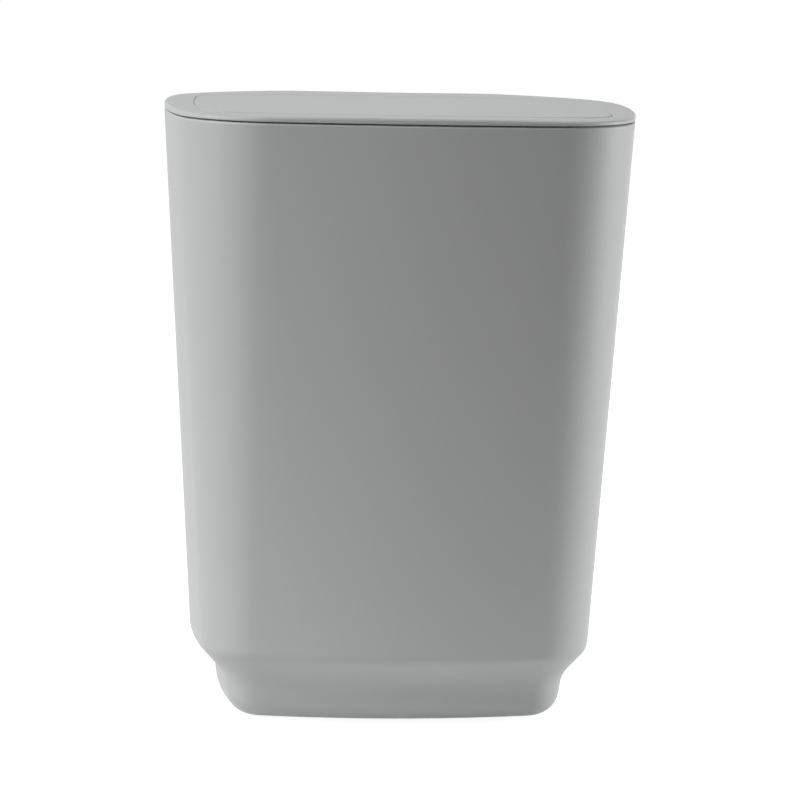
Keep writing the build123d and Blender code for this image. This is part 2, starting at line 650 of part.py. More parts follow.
with BuildPart() as latch_housing:
    outer_x = slider_width / 2 + slider_clearance + housing_wall
    outer_y = slider_length / 2 + slider_clearance + housing_wall
    plug_inner_y = top_depth / 2 - plug_foot - plug_wall
    box_between((-outer_x, latch_y - outer_y, housing_bottom), (outer_x, latch_y + outer_y, housing_top))
    flange_low = (-flange_half_width, -plug_inner_y + flange_skirt_gap, housing_top - flange_thickness)
    flange_high = (flange_half_width, housing_front + flange_lap, housing_top)
    box_between(flange_low, flange_high)
    bore_low = (-slider_width / 2 - slider_clearance, slider_front - slider_clearance, housing_inside)
    bore_high = (slider_width / 2 + slider_clearance, slider_front + slider_length + slider_clearance, lid_top)
    box_between(bore_low, bore_high, mode=Mode.SUBTRACT)
    # window for the cam follower, the groove it lies in and the hole that it turns in
    window_low = (-cam_width / 2, housing_front, wire_top_z - cam_width / 2)
    window_high = (cam_width / 2, latch_y, wire_top_z + cam_width / 2)
    box_between(window_low, window_high, mode=Mode.SUBTRACT)
    groove = wire_radius + wire_clearance
    groove_low = (-groove, housing_front, wire_foot_z - groove)
    groove_high = (groove, housing_front + 2 * groove, wire_top_z)
    box_between(groove_low, groove_high, mode=Mode.SUBTRACT)
    wire_hole_depth = housing_wall - 2 * wire_clearance
    rod((0, housing_front, wire_foot_z), (0, 1, 0), groove, wire_hole_depth, mode=Mode.SUBTRACT)
    peg_z = wire_top_z - cover_height / 2 + cam_width / 4
    for side in (-1, 1):
        peg_place = (side * cover_peg_spacing / 2, housing_front, peg_z)
        peg_hole = cover_peg_radius + pin_clearance
        rod(peg_place, (0, 1, 0), peg_hole, cover_peg_length + wire_clearance, mode=Mode.SUBTRACT)
    for x, y in latch_screw_places:
        hole_radius = screw_radius + screw_clearance
        rod((x, y, housing_top), (0, 0, -1), hole_radius, flange_thickness, mode=Mode.SUBTRACT)
latch_housing.part.label = "latch_housing"
export_step(latch_housing.part, "parts/latch_housing.step")

with BuildPart() as latch_cover:
    cover_top = housing_top - flange_thickness - cover_drop
    cover_low = (-outer_x, housing_front - cover_thickness, cover_top - cover_height)
    cover_high = (outer_x, housing_front, cover_top)
    box_between(cover_low, cover_high)
    fillet(latch_cover.edges().filter_by(Axis.Y), cover_thickness)
    for side in (-1, 1):
        peg_place = (side * cover_peg_spacing / 2, housing_front, peg_z)
        rod(peg_place, (0, 1, 0), cover_peg_radius, cover_peg_length)
latch_cover.part.label = "latch_cover"
export_step(latch_cover.part, "parts/latch_cover.step")

latch_screws = screws_from_below(latch_screw_places, housing_top - flange_thickness, flange_thickness + screw_bite)
latch_screws.label = "latch_screws"
export_step(latch_screws, "parts/latch_screws.step")

with BuildPart() as latch_pin:
    wire_in = housing_front + wire_hole_depth - wire_clearance
    wire_tip = slider_front + cam_depth - wire_clearance
    with BuildLine() as wire_path:
        FilletPolyline(
            (0, wire_in, wire_foot_z),
            (0, wire_y, wire_foot_z),
            (0, wire_y, wire_top_z),
            (0, wire_tip, wire_top_z),
            radius=wire_bend_radius,
        )
    with BuildSketch(Plane((0, wire_in, wire_foot_z), z_dir=(0, -1, 0))):
        Circle(wire_radius)
    sweep(path=wire_path.wires()[0])
latch_pin.part.label = "latch_pin"
export_step(latch_pin.part, "parts/latch_pin.step")

with BuildPart() as latch_spring:
    spring_low = housing_inside + latch_spring_wire_radius
    spring_height = spring_pocket_top - latch_spring_wire_radius - spring_low
    with BuildLine() as latch_coil:
        Helix(
            spring_height / latch_spring_turns, spring_height, latch_spring_radius,
            center=(0, latch_y, spring_low),
        )
    with BuildSketch(Plane(latch_coil.line @ 0, z_dir=latch_coil.line % 0)):
        Circle(latch_spring_wire_radius)
    sweep(path=latch_coil.line)
latch_spring.part.label = "latch_spring"
export_step(latch_spring.part, "parts/latch_spring.step")

print("pivot", round(pivot_y, 3), round(pivot_z, 3), "press travel", round(press_travel, 4))
print("rim", rim_z, "lid top", lid_top, "latch", latch_y, "spring foot", round(housing_inside, 3))
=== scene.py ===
"""Looks of the push top countertop bin: studio, camera and the surface of every piece.

Metres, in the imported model's own frame: +Z up, the front of the lid towards -Y.
"""
import json
from math import cos, hypot, pi, radians, sin, tan

import bmesh
import bpy
from mathutils import Matrix, Vector


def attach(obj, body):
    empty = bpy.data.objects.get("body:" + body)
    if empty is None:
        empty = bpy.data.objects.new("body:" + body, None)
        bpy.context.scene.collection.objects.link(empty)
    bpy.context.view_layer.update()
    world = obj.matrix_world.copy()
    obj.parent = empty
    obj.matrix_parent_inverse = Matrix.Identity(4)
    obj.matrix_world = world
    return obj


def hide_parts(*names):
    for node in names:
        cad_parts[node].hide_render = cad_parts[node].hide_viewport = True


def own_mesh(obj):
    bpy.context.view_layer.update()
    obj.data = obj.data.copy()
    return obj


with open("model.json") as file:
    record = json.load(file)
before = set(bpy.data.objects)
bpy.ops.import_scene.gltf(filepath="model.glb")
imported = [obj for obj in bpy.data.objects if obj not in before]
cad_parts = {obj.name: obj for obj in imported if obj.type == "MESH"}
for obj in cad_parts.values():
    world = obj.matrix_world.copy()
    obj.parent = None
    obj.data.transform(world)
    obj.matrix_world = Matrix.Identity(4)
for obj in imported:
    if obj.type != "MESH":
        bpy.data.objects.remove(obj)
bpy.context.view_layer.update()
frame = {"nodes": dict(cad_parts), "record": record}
scene = bpy.context.scene

# ---------------------------------------------------------------- camera
# A long lens, a little above the middle of the bin and a few degrees round to its left side,
# tilted by one degree.
CAMERA_AIM = Vector((0.002900, 0.0, 0.115456))
CAMERA_DISTANCE = 1.3145
CAMERA_HEIGHT_ANGLE = radians(8.99)
CAMERA_TURN = radians(-4.565)
CAMERA_ROLL = radians(1.232)
FOCAL_PIXELS = 3445.5
IMAGE_PIXELS = 800

camera = bpy.data.objects.new("camera", bpy.data.cameras.new("camera"))
scene.collection.objects.link(camera)
scene.camera = camera
back = Vector((0, -cos(CAMERA_HEIGHT_ANGLE), sin(CAMERA_HEIGHT_ANGLE)))
up = Vector((0, sin(CAMERA_HEIGHT_ANGLE), cos(CAMERA_HEIGHT_ANGLE)))
axes = Matrix((Vector((1, 0, 0)), up, back)).transposed().to_4x4()
turn = Matrix.Rotation(CAMERA_TURN, 4, "Z")
stand = Matrix.Translation(CAMERA_AIM + back * CAMERA_DISTANCE)
camera.matrix_world = turn @ stand @ axes @ Matrix.Rotation(CAMERA_ROLL, 4, "Z")
camera.data.lens = FOCAL_PIXELS / IMAGE_PIXELS * camera.data.sensor_width
camera.data.clip_end = 50

# ---------------------------------------------------------------- studio
# A white table that keeps a faint shadow round the foot, and large soft lights on both sides.
scene.view_settings.view_transform = "Standard"


def soft_light(name, place, watts):
    """Square soft light at a place, pointed at the middle of the bin."""
    lamp = bpy.data.lights.new(name, "AREA")
    lamp.shape = "SQUARE"
    lamp.size = LIGHT_SIZE
    lamp.energy = watts
    light = bpy.data.objects.new(name, lamp)
    scene.collection.objects.link(light)
    facing = (LIGHT_AIM - place).to_track_quat("-Z", "Y").to_matrix().to_4x4()
    light.matrix_world = Matrix.Translation(place) @ facing


LIGHT_AIM = Vector((0, 0, 0.12))
LIGHT_DISTANCE = 2.0
LIGHT_SIZE = 0.7
LIGHTS = [  # name, degrees round to the right of the front, degrees of height, watts
    ("right_low_light", 95, 5, 22.4),
    ("right_light", 95, 18, 8.3),
    ("left_front_light", -45, 10, 2.8),
    ("left_light", -72, 27, 19.8),
    ("left_upper_light", -72, 45, 6.2),
    ("left_high_light", -72, 62, 2.2),
    ("left_front_high_light", -60, 62, 7.7),
    ("left_rear_light", -120, 62, 0.5),
]
for name, round_angle, height_angle, watts in LIGHTS:
    round_angle = radians(round_angle)
    aside = cos(radians(height_angle))
    above = sin(radians(height_angle))
    way = Vector((aside * sin(round_angle), -aside * cos(round_angle), above))
    soft_light(name, LIGHT_AIM + way * LIGHT_DISTANCE, watts)


def white_to_the_eye(tree):
    """1 for the rays that show the background, directly or in a gloss, else 0."""
    path = tree.nodes.new("ShaderNodeLightPath")
    kinds = [path.outputs[kind] for kind in ("Is Camera Ray", "Is Glossy Ray", "Is Transmission Ray")]
    seen = kinds[0]
    for kind in kinds[1:]:
        either = tree.nodes.new("ShaderNodeMath")
        either.operation = "MAXIMUM"
        tree.links.new(seen, either.inputs[0])
        tree.links.new(kind, either.inputs[1])
        seen = either.outputs["Value"]
    return seen


world = bpy.data.worlds.new("studio")
scene.world = world
world.use_nodes = True
tree = world.node_tree
background = tree.nodes["Background"]
background.inputs["Color"].default_value = (1, 1, 1, 1)
tree.links.new(white_to_the_eye(tree), background.inputs["Strength"])

FLOOR_REACH = 12
corners = [(x * FLOOR_REACH, y * FLOOR_REACH, 0) for x, y in ((-1, -1), (1, -1), (1, 1), (-1, 1))]
floor_mesh = bpy.data.meshes.new("floor")
floor_mesh.from_pydata(corners, [], [(0, 1, 2, 3)])
floor = bpy.data.objects.new("floor", floor_mesh)
scene.collection.objects.link(floor)
floor_finish = bpy.data.materials.new("white_table")
floor_finish.use_nodes = True
tree = floor_finish.node_tree
place = tree.nodes.new("ShaderNodeTexCoord")
distance = tree.nodes.new("ShaderNodeVectorMath")
distance.operation = "LENGTH"
tree.links.new(place.outputs["Object"], distance.inputs[0])


def by_distance(near, far, at_near, at_far):
    """A value that runs from one to another between two distances from the bin's middle."""
    change = tree.nodes.new("ShaderNodeMapRange")
    limits = {"From Min": near, "From Max": far, "To Min": at_near, "To Max": at_far}
    for name, value in limits.items():
        change.inputs[name].default_value = value
    tree.links.new(distance.outputs["Value"], change.inputs["Value"])
    return change.outputs["Result"]


# What the bin gets back from the table: white near its foot, dark further out.
table = tree.nodes["Principled BSDF"]
table.inputs["Roughness"].default_value = 0.9
tree.links.new(by_distance(0.28, 0.42, 0.90, 0.15), table.inputs["Base Color"])

# What the eye sees: a glow just short of white by the foot, and paper that takes the shadow.
paper = tree.nodes.new("ShaderNodeBsdfDiffuse")
paper.inputs["Color"].default_value = (0.45, 0.45, 0.45, 1)
glow = tree.nodes.new("ShaderNodeEmission")
tree.links.new(by_distance(0.12, 0.35, 0.90, 1.0), glow.inputs["Strength"])
seen_floor = tree.nodes.new("ShaderNodeAddShader")
tree.links.new(paper.outputs[0], seen_floor.inputs[0])
tree.links.new(glow.outputs[0], seen_floor.inputs[1])

white = tree.nodes.new("ShaderNodeMixShader")
tree.links.new(white_to_the_eye(tree), white.inputs[0])
tree.links.new(table.outputs[0], white.inputs[1])
tree.links.new(seen_floor.outputs[0], white.inputs[2])
tree.links.new(white.outputs[0], tree.nodes["Material Output"].inputs["Surface"])
floor_mesh.materials.append(floor_finish)


# ---------------------------------------------------------------- bin body
# One tapered shell of grey polypropylene, moulded with a fine matt grain. Its wall is one section
# carried round a plan whose sides and ends bulge a little, the ends more so below the rim, and it
# steps in to a smaller foot.
MM = 0.001
bodies = frame["record"]["behaviour"]["bodies"]
body_of = {node: body for body, nodes in bodies.items() for node in nodes}


class Term:
    """A number in a node tree that can be reckoned with."""

    def __init__(self, tree, socket):
        self.tree = tree
        self.socket = socket

    def reckon(self, operation, *others):
        made = self.tree.nodes.new("ShaderNodeMath")
        made.operation = operation
        for place, value in enumerate((self, *others)):
            if isinstance(value, Term):
                self.tree.links.new(value.socket, made.inputs[place])
            else:
                made.inputs[place].default_value = value
        return Term(self.tree, made.outputs[0])

    def __add__(self, other):
        return self.reckon("ADD", other)

    def __sub__(self, other):
        return self.reckon("SUBTRACT", other)

    def __mul__(self, other):
        return self.reckon("MULTIPLY", other)

    def __truediv__(self, other):
        return self.reckon("DIVIDE", other)

    def __lt__(self, other):
        return self.reckon("LESS_THAN", other)


def new_tree(name, inputs):
    """Empty geometry tree with a geometry input, named inputs and a geometry output."""
    tree = bpy.data.node_groups.new(name, "GeometryNodeTree")
    tree.interface.new_socket("Geometry", in_out="INPUT", socket_type="NodeSocketGeometry")
    for label, kind in inputs.items():
        tree.interface.new_socket(label, in_out="INPUT", socket_type="NodeSocket" + kind)
    tree.interface.new_socket("Geometry", in_out="OUTPUT", socket_type="NodeSocketGeometry")
    source = tree.nodes.new("NodeGroupInput")
    return tree, source, tree.nodes.new("NodeGroupOutput")


def put(tree, kind, inputs=(), **settings):
    """New node. Each input is a value, or the output of another node."""
    made = tree.nodes.new(kind)
    for name, value in settings.items():
        setattr(made, name, value)
    for key, value in dict(inputs).items():
        value = value.socket if isinstance(value, Term) else value
        if isinstance(value, bpy.types.NodeSocket):
            tree.links.new(value, made.inputs[key])
        else:
            made.inputs[key].default_value = value
    return made


def close_tree(tree, source, sink, geometry):
    """Smooth shading, real geometry and the material, at the end of a tree."""
    smooth = put(tree, "GeometryNodeSetShadeSmooth", {"Geometry": geometry})
    real = put(tree, "GeometryNodeRealizeInstances", {"Geometry": smooth.outputs[0]})
    dressed = put(tree, "GeometryNodeSetMaterial",
                  {"Geometry": real.outputs[0], "Material": source.outputs["Material"]})
    tree.links.new(dressed.outputs[0], sink.inputs[0])


def sampled_row(tree, geometry, row):
    """Coordinates of the point with that index in the object's own mesh."""
    here = put(tree, "GeometryNodeInputPosition")
    sample = put(tree, "GeometryNodeSampleIndex", {"Geometry": geometry, "Index": row},
                 data_type="FLOAT_VECTOR")
    value = [socket for socket in sample.inputs if socket.name == "Value" and socket.enabled][0]
    tree.links.new(here.outputs[0], value)
    parts = put(tree, "ShaderNodeSeparateXYZ", {0: [s for s in sample.outputs if s.enabled][0]})
    return [Term(tree, output) for output in parts.outputs]


def grid_of(tree, columns, rows):
    """Grid of a column for each step round and a row for each point of a line: mesh, column, row."""
    grid = put(tree, "GeometryNodeMeshGrid", {"Vertices X": columns + 1, "Vertices Y": rows})
    index = Term(tree, put(tree, "GeometryNodeInputIndex").outputs[0])
    column = (index / rows + 0.0001).reckon("FLOOR")
    return grid.outputs["Mesh"], column, index - column * rows


def bulging_point(width, depth, side, end, corner, angle, inset):
    """Point of a rectangle with bulging sides and ends whose outward normal has that angle."""
    across = side - width / 2
    along = end - depth / 2
    span = (across * across + along * along).reckon("SQRT")
    to_side = side - corner
    to_end = end - corner
    part = (to_side * to_side - to_end * to_end + span * span) / (span * 2)
    rise = (to_side * to_side - part * part).reckon("SQRT")
    corner_x = (part * across + rise * along) / span - across
    corner_y = (rise * across - part * along) / span
    cosine = angle.reckon("COSINE")
    sine = angle.reckon("SINE")
    lean = sine.reckon("ABSOLUTE").reckon("ARCTAN2", cosine.reckon("ABSOLUTE"))
    on_side = lean < corner_y.reckon("ARCTAN2", corner_x + across)
    on_end = (lean * -1 + pi / 2) < corner_x.reckon("ARCTAN2", corner_y + along)
    radius = corner + on_side * to_side + on_end * to_end
    centre_x = corner_x - on_side * (across + corner_x) - on_end * corner_x
    centre_y = corner_y - on_side * corner_y - on_end * (along + corner_y)
    x = cosine.reckon("SIGN") * centre_x + (radius - inset) * cosine
    y = sine.reckon("SIGN") * centre_y + (radius - inset) * sine
    return x, y


def rounded_line(corners, roundings, steps=8):
    """Points along a line whose inner corners are rounded."""
    line = [Vector(corners[0])]
    for before, corner, after, rounding in zip(corners, corners[1:], corners[2:], roundings):
        corner = Vector(corner)
        to_before = (Vector(before) - corner).normalized()
        to_after = (Vector(after) - corner).normalized()
        half = to_before.angle(to_after) / 2
        centre = corner + (to_before + to_after).normalized() * rounding / sin(half)
        first = corner + to_before * rounding / tan(half) - centre
        last = corner + to_after * rounding / tan(half) - centre
        sweep = pi - 2 * half
        for step in range(steps + 1):
            share = step / steps
            turned = first * sin((1 - share) * sweep) + last * sin(share * sweep)
            line.append(centre + turned / sin(sweep))
    line.append(Vector(corners[-1]))
    return line


def with_short_ends(line, run, longest):
    """The same line, with a point close to each end of its long straight runs."""
    full = [line[0]]
    for start, end in zip(line, line[1:]):
        step = end - start
        if step.length > longest:
            full += [start + step.normalized() * run, end - step.normalized() * run]
        full.append(end)
    return full


def points_object(name, points, edges=()):
    """Object whose mesh holds only points, and edges between them."""
    mesh = bpy.data.meshes.new(name)
    mesh.from_pydata([(*point, 0)[:3] for point in points], list(edges), [])
    made = bpy.data.objects.new(name, mesh)
    scene.collection.objects.link(made)
    return made


def grow(piece, tree, **values):
    """Run a tree on an object and keep the plain mesh it makes."""
    modifier = piece.modifiers.new(tree.name, "NODES")
    modifier.node_group = tree
    for item in tree.interface.items_tree:
        if item.in_out == "INPUT" and item.name in values:
            modifier[item.identifier] = values[item.name]
    piece.update_tag()
    settle(piece)


def settle(piece):
    """Apply a piece's modifiers and keep the plain mesh they make."""
    shape = piece.evaluated_get(bpy.context.evaluated_depsgraph_get())
    mesh = bpy.data.meshes.new_from_object(shape)
    piece.modifiers.clear()
    piece.data = mesh


def outwards(mesh):
    """Join points that meet and turn all faces outwards."""
    knit = bmesh.new()
    knit.from_mesh(mesh)
    bmesh.ops.remove_doubles(knit, verts=knit.verts, dist=0.002 * MM)
    bmesh.ops.dissolve_degenerate(knit, edges=knit.edges, dist=0.0001 * MM)
    bmesh.ops.recalc_face_normals(knit, faces=knit.faces)
    knit.to_mesh(mesh)
    knit.free()


def crisp(mesh, angle=radians(32)):
    """Smooth shading, with a hard edge where faces meet at more than the angle."""
    mesh.shade_smooth()
    mesh.set_sharp_from_angle(angle=angle)


def stand_for(piece, node):
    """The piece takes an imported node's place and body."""
    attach(piece, body_of[node])
    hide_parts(node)


def moulded_plastic(name, colour, roughness, grain_size, grain_depth):
    """Moulded plastic: an even colour with faint flow marks, and a fine grain."""
    finish = bpy.data.materials.new(name)
    finish.use_nodes = True
    tree = finish.node_tree
    shader = tree.nodes["Principled BSDF"]
    place = put(tree, "ShaderNodeTexCoord").outputs["Object"]
    flow = put(tree, "ShaderNodeTexNoise", {"Vector": place, "Scale": 9, "Detail": 3}).outputs["Fac"]
    tint = put(tree, "ShaderNodeMix", data_type="RGBA")
    tint.inputs["A"].default_value = (*[0.985 * c for c in colour], 1)
    tint.inputs["B"].default_value = (*[1.015 * c for c in colour], 1)
    tree.links.new(flow, tint.inputs["Factor"])
    tree.links.new(tint.outputs["Result"], shader.inputs["Base Color"])
    grain = put(tree, "ShaderNodeTexNoise", {"Vector": place, "Scale": 1 / grain_size, "Detail": 2})
    bump = put(tree, "ShaderNodeBump", {"Height": grain.outputs["Fac"], "Distance": grain_depth,
                                        "Strength": 0.5})
    tree.links.new(bump.outputs["Normal"], shader.inputs["Normal"])
    shine = put(tree, "ShaderNodeMapRange", {"Value": flow, "To Min": roughness - 0.04,
                                             "To Max": roughness + 0.04})
    tree.links.new(shine.outputs["Result"], shader.inputs["Roughness"])
    return finish


body_plastic = moulded_plastic("body_plastic", (0.494, 0.506, 0.500), 0.5, 0.0006, 0.00002)

# The wall's outside, as places further in than the top's outline and above the table: base, foot,
# step, shoulder and rim.
TOP_WIDTH = 176 * MM
TOP_DEPTH = 142 * MM
WALL = 2.4 * MM
RIM = 225.5 * MM
RIM_ROUNDING = 0.8 * MM
BASE = 0.8 * MM
outer_corners = [Vector((33 * MM, BASE)), Vector((23.1 * MM, BASE)), Vector((21.3, 16.4)) * MM,
                 Vector((12, 26.9)) * MM, Vector((0, RIM))]
outer_roundings = [9.7 * MM, 13 * MM, 6.9 * MM]
outer_wall = rounded_line(outer_corners, outer_roundings)
inner_wall = []
for place, point in enumerate(outer_wall):
    run = outer_wall[min(place + 1, len(outer_wall) - 1)] - outer_wall[max(place - 1, 0)]
    inner_wall.append(point + Vector((run.y, -run.x)).normalized() * WALL)
inner_wall[-1].y = RIM
rim_corners = outer_corners + [inner_wall[-1]]
section = rounded_line(rim_corners, outer_roundings + [RIM_ROUNDING]) + inner_wall[-2::-1]
section = [Vector((0, BASE))] + with_short_ends(section, 0.6 * MM, 3 * MM) + [Vector((0, BASE + WALL))]

shell_tree, source, sink = new_tree("moulded_shell", {
    "Width": "Float", "Depth": "Float", "Side Radius": "Float", "End Radius": "Float",
    "Corner Radius": "Float", "Columns": "Int", "Pocket Radius": "Float", "Pocket Depth": "Float",
    "Pocket X": "Float", "Pocket Y": "Float", "Base": "Float", "Lower End Radius": "Float",
    "Bow Top": "Float", "Bow Run": "Float", "Material": "Material",
})
values = {name: Term(shell_tree, socket) for name, socket in source.outputs.items() if name}
count = put(shell_tree, "GeometryNodeAttributeDomainSize", {"Geometry": source.outputs["Geometry"]})
rows = Term(shell_tree, count.outputs["Point Count"])
grid, column, row = grid_of(shell_tree, values["Columns"], rows)
inset, height = sampled_row(shell_tree, source.outputs["Geometry"], row)[:2]
angle = column / values["Columns"] * (2 * pi)
bowed = ((values["Bow Top"] - height) / values["Bow Run"]).reckon("MINIMUM", 1).reckon("MAXIMUM", 0)
bowed = bowed * bowed * (bowed * -2 + 3)  # starts and ends gently
end_radius = values["End Radius"] + (values["Lower End Radius"] - values["End Radius"]) * bowed
x, y = bulging_point(values["Width"], values["Depth"], values["Side Radius"], end_radius,
                     values["Corner Radius"], angle, inset)
last_row = rows - 1.5
open_row = (row * -1 + 0.5 < 0) * (row < last_row)
place = put(shell_tree, "ShaderNodeCombineXYZ", {0: x * open_row, 1: y * open_row, 2: height})
moved = put(shell_tree, "GeometryNodeSetPosition", {"Geometry": grid, "Position": place.outputs[0]})
joined = put(shell_tree, "GeometryNodeMergeByDistance", {"Geometry": moved.outputs[0], "Distance": 1e-6})
pocket = put(shell_tree, "GeometryNodeMeshCylinder", {
    "Vertices": 64, "Radius": values["Pocket Radius"], "Depth": values["Pocket Depth"] * 2,
})
pockets = put(shell_tree, "GeometryNodeJoinGeometry")
for side_x in (-1, 1):
    for side_y in (-1, 1):
        spot = put(shell_tree, "ShaderNodeCombineXYZ", {
            0: values["Pocket X"] * side_x, 1: values["Pocket Y"] * side_y, 2: values["Base"],
        })
        set_in = put(shell_tree, "GeometryNodeTransform", {
            "Geometry": pocket.outputs["Mesh"], "Translation": spot.outputs[0],
        })
        shell_tree.links.new(set_in.outputs[0], pockets.inputs[0])
carved = put(shell_tree, "GeometryNodeMeshBoolean", {
    "Mesh 1": joined.outputs[0], "Mesh 2": pockets.outputs[0],
}, operation="DIFFERENCE")
close_tree(shell_tree, source, sink, carved.outputs[0])

PAD_X = 44
PAD_Y = 27.5
bin_shell = points_object("bin_shell", section)
grow(bin_shell, shell_tree, **{
    "Width": TOP_WIDTH, "Depth": TOP_DEPTH, "Side Radius": 195 * MM, "End Radius": 510 * MM,
    "Corner Radius": 36 * MM, "Columns": 240, "Pocket Radius": 6.1 * MM, "Pocket Depth": 0.8 * MM,
    "Pocket X": PAD_X * MM, "Pocket Y": PAD_Y * MM, "Base": BASE, "Lower End Radius": 300 * MM,
    "Bow Top": 211 * MM, "Bow Run": 80 * MM, "Material": body_plastic,
})
outwards(bin_shell.data)
crisp(bin_shell.data)
stand_for(bin_shell, "bin_body")


# ---------------------------------------------------------------- turned and moulded round pieces
# Rubber feet, rubber buffers, screws, pins and the magnet are all a half profile carried round
# an axis, and most of them come in sets. One tree turns the profile and sets out the copies.
turned_tree, source, sink = new_tree("turned_set", {
    "Profile Points": "Int", "Columns": "Int", "Recess Width": "Float", "Recess Length": "Float",
    "Recess Depth": "Float", "Material": "Material",
})
values = {name: Term(turned_tree, socket) for name, socket in source.outputs.items() if name}
grid, column, row = grid_of(turned_tree, values["Columns"], values["Profile Points"])
radius, height = sampled_row(turned_tree, source.outputs["Geometry"], row)[:2]
angle = column / values["Columns"] * (2 * pi)
place = put(turned_tree, "ShaderNodeCombineXYZ", {
    0: radius * angle.reckon("COSINE"), 1: radius * angle.reckon("SINE"), 2: height,
})
moved = put(turned_tree, "GeometryNodeSetPosition", {"Geometry": grid, "Position": place.outputs[0]})
turned = put(turned_tree, "GeometryNodeMergeByDistance", {"Geometry": moved.outputs[0], "Distance": 1e-6})
bars = put(turned_tree, "GeometryNodeJoinGeometry")
for long_axis in (0, 1):
    spans = {long_axis: values["Recess Length"], 1 - long_axis: values["Recess Width"],
             2: values["Recess Depth"] * 2}
    size = put(turned_tree, "ShaderNodeCombineXYZ", spans)
    bar = put(turned_tree, "GeometryNodeMeshCube", {"Size": size.outputs[0]})
    turned_tree.links.new(bar.outputs["Mesh"], bars.inputs[0])
cross = put(turned_tree, "GeometryNodeMeshBoolean", {"Mesh 2": bars.outputs[0]}, operation="UNION")
driven = put(turned_tree, "GeometryNodeMeshBoolean", {
    "Mesh 1": turned.outputs[0], "Mesh 2": cross.outputs[0],
}, operation="DIFFERENCE")
has_recess = put(turned_tree, "FunctionNodeCompare", {0: values["Recess Depth"], 1: 0.0},
                 operation="GREATER_THAN")
one = put(turned_tree, "GeometryNodeSwitch", {
    "Switch": has_recess.outputs[0], "False": turned.outputs[0], "True": driven.outputs[0],
}, input_type="GEOMETRY")
number = Term(turned_tree, put(turned_tree, "GeometryNodeInputIndex").outputs[0])
in_profile = number < values["Profile Points"] - 0.5
places = put(turned_tree, "GeometryNodeDeleteGeometry", {
    "Geometry": source.outputs["Geometry"], "Selection": in_profile,
}, domain="POINT")
copies = put(turned_tree, "GeometryNodeInstanceOnPoints", {
    "Points": places.outputs[0], "Instance": one.outputs[0],
})
close_tree(turned_tree, source, sink, copies.outputs[0])


def turned_set(node, profile, places, finish, columns=48, recess=(0, 0, 0), lay=None):
    """A node's round pieces: a profile of (radius, height) in mm, and where each one stands."""
    points = [(*(value * MM for value in point), 0) for point in profile]
    points += [tuple(value * MM for value in place) for place in places]
    piece = points_object(node + "_set", points)
    grow(piece, turned_tree, **{
        "Profile Points": len(profile), "Columns": columns, "Recess Width": recess[0] * MM,
        "Recess Length": recess[1] * MM, "Recess Depth": recess[2] * MM, "Material": finish,
    })
    if lay:
        piece.data.transform(lay)
    outwards(piece.data)
    crisp(piece.data)
    stand_for(piece, node)


def rubber(name, colour, grain_size, grain_depth):
    """Soft matt rubber with a bloom that lightens it in places."""
    finish = moulded_plastic(name, colour, 0.72, grain_size, grain_depth)
    tree = finish.node_tree
    place = put(tree, "ShaderNodeTexCoord").outputs["Object"]
    dust = put(tree, "ShaderNodeTexNoise", {"Vector": place, "Scale": 240, "Detail": 4, "Roughness": 0.7})
    bloom = put(tree, "ShaderNodeMapRange", {"Value": dust.outputs["Fac"], "From Min": 0.45, "From Max": 0.8,
                                             "To Min": 0.0, "To Max": 0.25})
    mix = put(tree, "ShaderNodeMix", {"Factor": bloom.outputs["Result"]}, data_type="RGBA")
    tint = [node for node in tree.nodes if node.bl_idname == "ShaderNodeMix"][0]
    tree.links.new(tint.outputs["Result"], mix.inputs["A"])
    mix.inputs["B"].default_value = (0.2, 0.2, 0.2, 1)
    tree.links.new(mix.outputs["Result"], tree.nodes["Principled BSDF"].inputs["Base Color"])
    return finish


def steel(name, colour, roughness, streaks):
    """Bright or plated steel, with fine drawing or turning marks and faint tarnish."""
    finish = bpy.data.materials.new(name)
    finish.use_nodes = True
    tree = finish.node_tree
    shader = tree.nodes["Principled BSDF"]
    shader.inputs["Metallic"].default_value = 1.0
    place = put(tree, "ShaderNodeTexCoord").outputs["Object"]
    tarnish = put(tree, "ShaderNodeTexNoise", {"Vector": place, "Scale": 420, "Detail": 3}).outputs["Fac"]
    tint = put(tree, "ShaderNodeMix", {"Factor": tarnish}, data_type="RGBA")
    tint.inputs["A"].default_value = (*[0.88 * c for c in colour], 1)
    tint.inputs["B"].default_value = (*[min(1.06 * c, 1) for c in colour], 1)
    tree.links.new(tint.outputs["Result"], shader.inputs["Base Color"])
    stretched = put(tree, "ShaderNodeMapping", {"Vector": place, "Scale": streaks})
    marks = put(tree, "ShaderNodeTexNoise", {"Vector": stretched.outputs[0], "Scale": 1, "Detail": 3})
    shine = put(tree, "ShaderNodeMapRange", {"Value": marks.outputs["Fac"], "To Min": roughness - 0.08,
                                             "To Max": roughness + 0.1})
    tree.links.new(shine.outputs["Result"], shader.inputs["Roughness"])
    bump = put(tree, "ShaderNodeBump", {"Height": marks.outputs["Fac"], "Distance": 0.008 * MM,
                                        "Strength": 0.4})
    tree.links.new(bump.outputs["Normal"], shader.inputs["Normal"])
    return finish


def profile_of(corners, roundings, steps=5):
    """Half profile with rounded corners, as plain pairs in mm."""
    line = with_short_ends(rounded_line(corners, roundings, steps), 0.08, 0.6)
    return [tuple(point) for point in line]


black_rubber = rubber("black_rubber", (0.06, 0.06, 0.06), 0.0005, 0.00002)
zinc_steel = steel("zinc_steel", (0.62, 0.62, 0.60), 0.32, (900, 900, 5000))
pin_steel = steel("pin_steel", (0.66, 0.66, 0.65), 0.22, (6000, 600, 600))
magnet_nickel = steel("magnet_nickel", (0.72, 0.71, 0.68), 0.14, (700, 700, 700))

